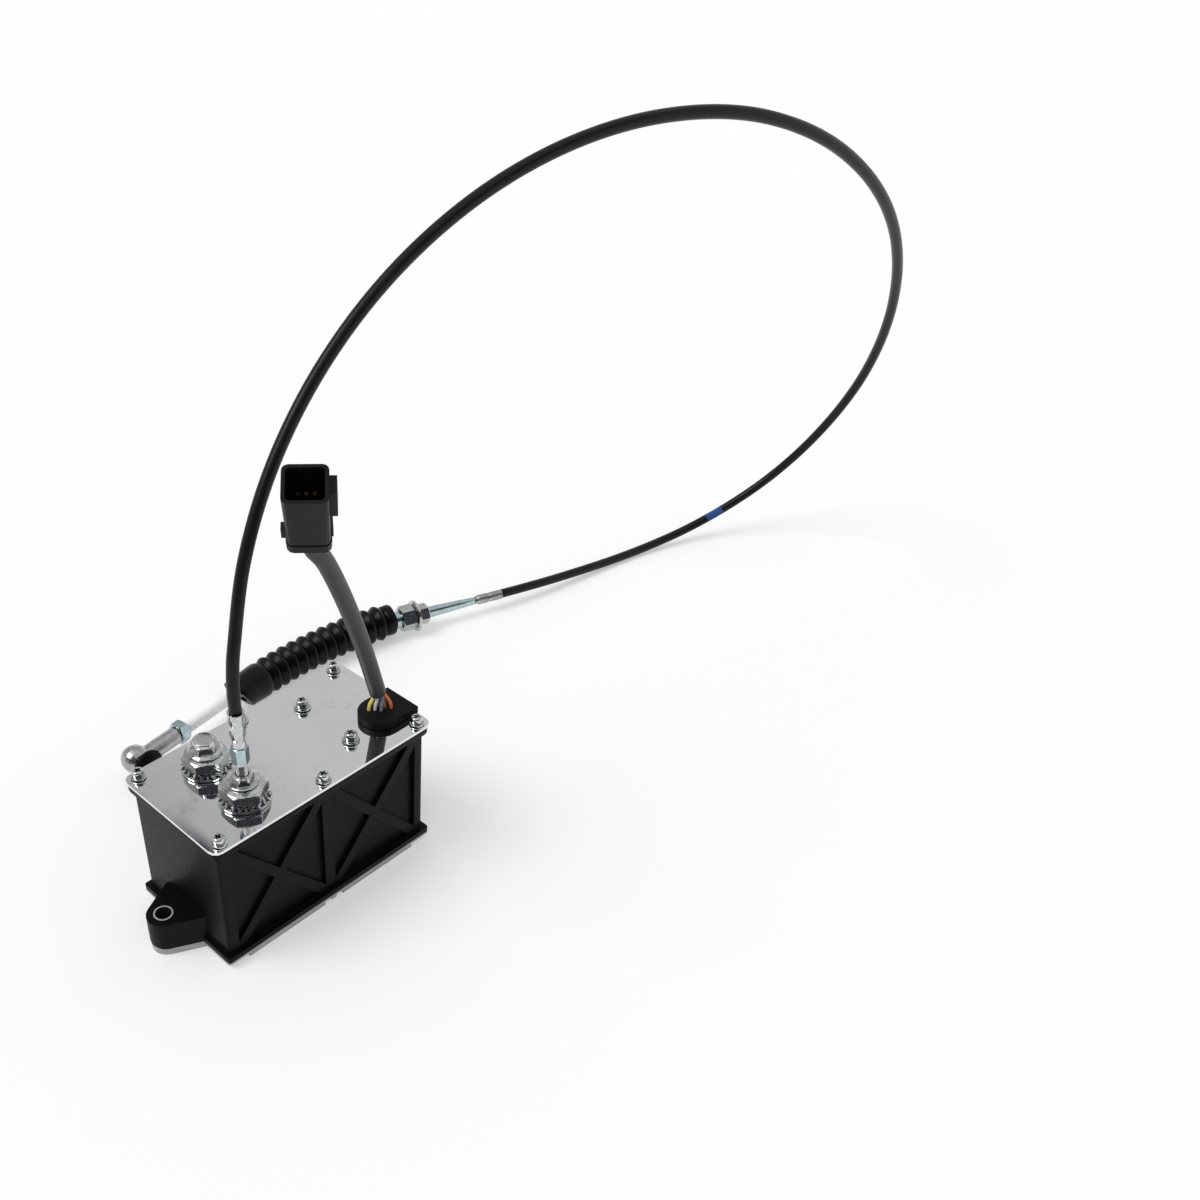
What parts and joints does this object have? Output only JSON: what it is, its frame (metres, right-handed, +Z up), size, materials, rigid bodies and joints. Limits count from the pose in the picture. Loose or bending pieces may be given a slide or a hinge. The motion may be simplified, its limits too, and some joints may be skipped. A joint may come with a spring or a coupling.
{
  "type": "engine governor actuator",
  "caption": "Throttle actuator: ribbed black box with a bright cover, a drum and gear motor inside, a push-pull cable with bellows and ball joint, and a wired plug.",
  "frame": {"origin": "on the floor under the middle of the housing, at the underside of its pads", "axes": "+X along the housing from the cable port to the wire grommet, +Y across it away from the cable port, +Z up through the cover"},
  "size_m": [0.6169, 0.2134, 0.3534],
  "materials": {
    "plastic": "fine moulded black",
    "gasket": "black",
    "cover": "polished and lightly smudged",
    "aluminium": "satin",
    "zinc": "bright zinc plate",
    "chrome": "ground and plated",
    "rubber": "matte black",
    "sheath": "dark grey sleeve",
    "cable_jacket": "black jacket with a blue mark",
    "brass": "bright",
    "nylon": "natural white",
    "board": "green laminate",
    "wire_yellow": "insulation",
    "wire_white": "insulation",
    "wire_grey": "insulation",
    "wire_brown": "insulation",
    "wire_orange": "insulation",
    "wire_blue": "insulation"
  },
  "bodies": {
    "actuator": {"housing": "plastic", "cover_gasket": "gasket", "cover_plate": "cover", "base_plate": "aluminium", "ear_bush_left": "zinc", "ear_bush_right": "zinc", "cover_screw_1": "zinc", "cover_screw_2": "zinc", "cover_screw_3": "zinc", "cover_screw_4": "zinc", "cover_screw_5": "zinc", "cover_screw_6": "zinc", "frame_screw_1": "zinc", "frame_screw_2": "zinc", "grommet": "rubber", "wire_yellow": "wire_yellow", "wire_white": "wire_white", "wire_grey": "wire_grey", "wire_brown": "wire_brown", "wire_orange": "wire_orange", "wire_blue": "wire_blue", "harness_sheath": "sheath", "connector_shell": "plastic", "connector_terminals": "brass", "control_cable": "cable_jacket", "plug_flat_washer": "zinc", "plug_star_washer": "zinc", "plug_port_nut": "zinc", "plug_bolt": "zinc", "cable_flat_washer": "zinc", "cable_star_washer": "zinc", "cable_port_nut": "zinc", "cable_lock_nut": "zinc", "cable_fitting": "zinc", "far_ferrule": "zinc", "far_hub": "zinc", "hub_nut_inner": "zinc", "hub_nut_outer": "zinc", "hub_washer": "zinc", "bellows": "rubber", "rod_core": "zinc", "drum_frame": "aluminium", "drive_core": "zinc", "motor_bracket": "aluminium", "motor_can": "zinc", "gearbox": "aluminium", "position_sensor": "plastic", "circuit_board": "board", "wire_header": "nylon"},
    "drum": {"cable_drum": "nylon", "drum_gear": "nylon", "drum_shaft": "zinc", "core_end": "brass"},
    "motor_pinion": {"pinion": "brass"},
    "rod": {"push_rod": "chrome", "jam_nut": "zinc", "rod_end": "zinc", "dust_boot": "rubber"},
    "stud": {"ball_stud": "zinc"}
  },
  "joints": [
    {"name": "drum_spin", "type": "hinge", "parent": "actuator", "child": "drum", "pos_m": [-0.0365, 0, 0.038], "axis": [1, 0, 0], "range_deg": [-55, 70], "deforming": ["drive_core"]},
    {"name": "pinion_spin", "type": "hinge", "parent": "actuator", "child": "motor_pinion", "pos_m": [-0.027, 0, 0.062], "axis": [1, 0, 0], "range_deg": [-215, 170]},
    {"name": "rod_slide", "type": "slide", "parent": "actuator", "child": "rod", "axis": [-0.9903, -0.1392, 0], "range_m": [-0.0193, 0.0151]},
    {"name": "stud_turn", "type": "hinge", "parent": "rod", "child": "stud", "pos_m": [-0.0174, 0.12063, 0.0123], "axis": [0.1392, -0.9903, 0], "continuous": true}
  ],
  "couplings": [
    {"joint": "drum_spin", "follows": "rod_slide", "rad_per_m": -62.5},
    {"joint": "pinion_spin", "follows": "rod_slide", "rad_per_m": 187.5}
  ]
}
